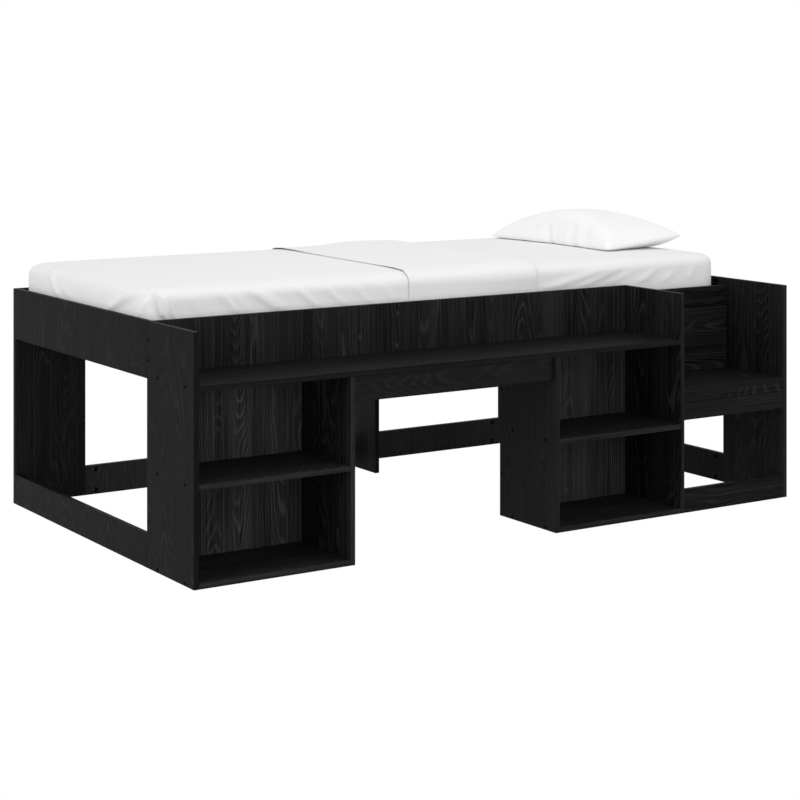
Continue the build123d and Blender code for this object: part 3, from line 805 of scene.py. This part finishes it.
def cut_at(cloth, x, slant, keep_low):
    """Cut the cloth across the bed at x, and keep its foot part or its head part."""
    geometry = cloth.verts[:] + cloth.edges[:] + cloth.faces[:]
    bmesh.ops.bisect_plane(
        cloth, geom=geometry, plane_co=(x, MIDDLE.y, 0), plane_no=(1, -slant, 0),
        clear_outer=keep_low, clear_inner=not keep_low,
    )


def cuff_lift(place):
    """How far the cuff stands off the sheet below it, at a place on the bed."""
    aside = place.y - MIDDLE.y
    back = FOLD_LINE_X + FOLD_SLANT * aside - place.x
    from_hem = place.x - (HEM_LINE_X + HEM_SLANT * aside)
    round_fold = math.sin(max(0.0, min(1.0, back / FOLD_ROUNDING)) * math.pi / 2)
    puff = CUFF_RISE * hump(back, *CUFF_PLACE)
    ends = FAR_GAPE * hump(place.y, *FAR_END) + NEAR_GAPE * hump(place.y, *NEAR_END)
    gape = ends * hump(from_hem, *HEM_PLACE)
    bump = FAR_BUMP * hump(place.y, *BUMP_ASIDE) * hump(back, *BUMP_BACK)
    free = max(0.0, min(1.0, (place.z - RAIL_TOP) / FREE_HEIGHT))
    share = TUCKED_SHARE + (1 - TUCKED_SHARE) * free
    return round_fold * (LAYER_LIFT + (puff + bump + gape) * share)


def top_sheet():
    """The top sheet with its cuff as one cloth."""
    lower = skin(TOP_GROW, TOP_HANG, FOOT_FOLDS + PLEAT, PLEAT_SPOT)
    cut_at(lower, FOLD_LINE_X, FOLD_SLANT, True)
    upper = skin(TOP_GROW, TOP_HANG)
    cut_at(upper, FOLD_LINE_X, FOLD_SLANT, True)
    cut_at(upper, HEM_LINE_X, HEM_SLANT, False)
    upper.normal_update()
    for vert, normal in [(vert, vert.normal.copy()) for vert in upper.verts]:
        vert.co += normal * cuff_lift(vert.co)
    holder = bpy.data.meshes.new("cuff")
    upper.to_mesh(holder)
    upper.free()
    lower.from_mesh(holder)
    bpy.data.meshes.remove(holder)
    bmesh.ops.remove_doubles(lower, verts=lower.verts, dist=0.0002)
    bmesh.ops.recalc_face_normals(lower, faces=lower.faces)
    return lower


print("cuff from x", round(FOLD_LINE_X, 3), "back to", round(HEM_LINE_X, 3))

# %% [markdown]
# The fitted sheet covers the whole mattress and hangs down its sides. A cloth is modelled one
# layer thick, and Solidify gives it its body. The flat sizes follow from the mattress and
# from how far each sheet hangs.

# %% Sheets on the bed
FITTED_GROW, FITTED_THICK, FITTED_HANG = 0.0011, 0.0009, 0.130


def thicken(piece, thickness):
    solid = piece.modifiers.new("cloth_thickness", "SOLIDIFY")
    solid.thickness = thickness
    solid.offset = -1


fitted_cloth = put(
    "fitted_sheet_cloth", skin(FITTED_GROW, FITTED_HANG, HEAD_FOLDS), "mattress_set",
    sheet_cotton,
)
thicken(fitted_cloth, FITTED_THICK)
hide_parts("fitted_sheet")
top_cloth = put("top_sheet_cloth", top_sheet(), "mattress_set", sheet_cotton)
thicken(top_cloth, TOP_THICK)
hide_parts("top_sheet")

# %% [markdown]
# The mattress itself only shows from below, between the slats. It is a block whose upright
# edges, top edges and bottom edges are rounded by three bevels.

# %% Mattress
PAD_CLEARANCE = 0.002
UNDER_RADIUS = 0.022


def mattress_pad():
    pad = bmesh.new()
    bmesh.ops.create_cube(pad, size=1)
    high = MATTRESS_HIGH.z - CROWN
    length, width = 2 * HALF_LENGTH - PAD_CLEARANCE, 2 * HALF_WIDTH - PAD_CLEARANCE
    bmesh.ops.scale(pad, vec=(length, width, high - MATTRESS_LOW.z), verts=pad.verts)
    centre = (MIDDLE.x, MIDDLE.y, (high + MATTRESS_LOW.z) / 2)
    bmesh.ops.translate(pad, vec=centre, verts=pad.verts)
    settings = {"affect": "EDGES", "profile": 0.5, "material": -1}
    upright = [edge for edge in pad.edges if abs(edge.verts[0].co.z - edge.verts[1].co.z) > 0.01]
    bmesh.ops.bevel(pad, geom=upright, offset=PLAN_RADIUS, segments=10, **settings)
    for level, radius in ((high, EDGE_RADIUS), (MATTRESS_LOW.z, UNDER_RADIUS)):
        ring = [edge for edge in pad.edges if all(abs(v.co.z - level) < 1e-5 for v in edge.verts)]
        bmesh.ops.bevel(pad, geom=ring, offset=radius, segments=8, **settings)
    return pad


pad_piece = put("mattress_pad", mattress_pad(), "mattress_set", ticking)
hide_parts("mattress")

# %% [markdown]
# The pillow is sewn and filled like a real one: two flat panels are joined round their
# edges, and the cloth simulation blows the bag up, which draws in its sides and leaves
# pointed corners.

# %% Sewing and filling the pillow
PILLOW_LOW, PILLOW_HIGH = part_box("pillow")
PILLOW_SIZE = PILLOW_HIGH - PILLOW_LOW
PILLOW_SLACK = 1.10
PILLOW_FRAMES, PILLOW_PRESSURE = 24, 1.3
PANEL_GAP, PANEL_UNEVENNESS = 0.006, 0.0006


def pillow_bag():
    """Two flat panels, joined round their edges."""
    bag = bmesh.new()
    bmesh.ops.create_grid(bag, x_segments=34, y_segments=70, size=0.5)
    size = (PILLOW_SIZE.x * PILLOW_SLACK, PILLOW_SIZE.y * PILLOW_SLACK, 1)
    bmesh.ops.scale(bag, vec=size, verts=bag.verts)
    flat = bag.loops.layers.uv.new("flat")
    for face in bag.faces:
        for loop in face.loops:
            loop[flat].uv = loop.vert.co.xy
    made = bmesh.ops.extrude_face_region(bag, geom=bag.faces[:])["geom"]
    raised = [item for item in made if isinstance(item, bmesh.types.BMVert)]
    bmesh.ops.translate(bag, vec=(0, 0, PANEL_GAP), verts=raised)
    bmesh.ops.recalc_face_normals(bag, faces=bag.faces)
    for vert in bag.verts:
        vert.co.z += PANEL_UNEVENNESS * noise.noise(vert.co * 40)
    return bag


def blow_up(piece, frames, pressure):
    """Fill the bag with the cloth simulation, and keep the shape."""
    cloth = piece.modifiers.new("filling", "CLOTH")
    cloth.settings.use_pressure = True
    cloth.settings.uniform_pressure_force = pressure
    cloth.settings.effector_weights.gravity = 0
    cloth.settings.quality = 6
    cloth.settings.mass = 0.2
    cloth.settings.tension_stiffness = 15
    cloth.settings.compression_stiffness = 15
    cloth.settings.bending_stiffness = 1.5
    cloth.point_cache.frame_end = frames
    for number in range(1, frames + 1):
        bpy.context.scene.frame_set(number)
    shape = piece.evaluated_get(bpy.context.evaluated_depsgraph_get())
    shaped = bpy.data.meshes.new_from_object(shape)
    piece.modifiers.remove(cloth)
    old, piece.data = piece.data, shaped
    bpy.data.meshes.remove(old)
    bpy.context.scene.frame_set(1)


pillow = put("pillow_cushion", pillow_bag(), "pillow_body", pillow_cotton)
blow_up(pillow, PILLOW_FRAMES, PILLOW_PRESSURE)

# %% [markdown]
# The filled bag is smoothed, most of all away from its near end. It is then fitted to the CAD
# pillow's box, given a fuller profile, and flattened where it lies on the sheet. Its seam
# rises towards the head end.

# %% Laying the pillow on the bed
PILLOW_FULLNESS = 0.85
SEAM_LOW, SEAM_RISE = 0.006, 0.032
UNDERSIDE_PUSH, UNDERSIDE_LIFT = 0.030, 0.0005
EASING = ((-1, 6), (-0.16, 8))


def ease(piece):
    """Smooth the heights: each rule has where it starts along the pillow, and its rounds."""
    eased = bmesh.new()
    eased.from_mesh(piece.data)
    for near_edge, rounds in EASING:
        calm = [vert for vert in eased.verts if vert.co.y > near_edge]
        for _ in range(rounds):
            bmesh.ops.smooth_vert(eased, verts=calm, factor=0.5, use_axis_z=True)
    eased.to_mesh(piece.data)
    eased.free()


def lay_down(piece):
    """Fit the pillow to its box, with a fuller profile and a flat underside."""
    places = [vert.co for vert in piece.data.vertices]
    low = Vector(min(place[axis] for place in places) for axis in range(3))
    high = Vector(max(place[axis] for place in places) for axis in range(3))
    print("pillow as filled", (high - low)[:])
    for place in places:
        share = [(place[axis] - low[axis]) / (high[axis] - low[axis]) for axis in range(3)]
        bulge = (share[2] - 0.5) * 2
        bulge = math.copysign(abs(bulge) ** PILLOW_FULLNESS, bulge)
        seam = SEAM_LOW + SEAM_RISE * share[0]
        above, below = PILLOW_SIZE.z - seam, seam + UNDERSIDE_PUSH
        rise = seam + bulge * (above if bulge > 0 else below)
        place.x = PILLOW_LOW.x + share[0] * PILLOW_SIZE.x
        place.y = PILLOW_LOW.y + share[1] * PILLOW_SIZE.y
        place.z = PILLOW_LOW.z + max(UNDERSIDE_LIFT, rise)


ease(pillow)
lay_down(pillow)
pillow.data.shade_smooth()
smooth = pillow.modifiers.new("smooth_filling", "SUBSURF")
smooth.levels = smooth.render_levels = 1
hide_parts("pillow")
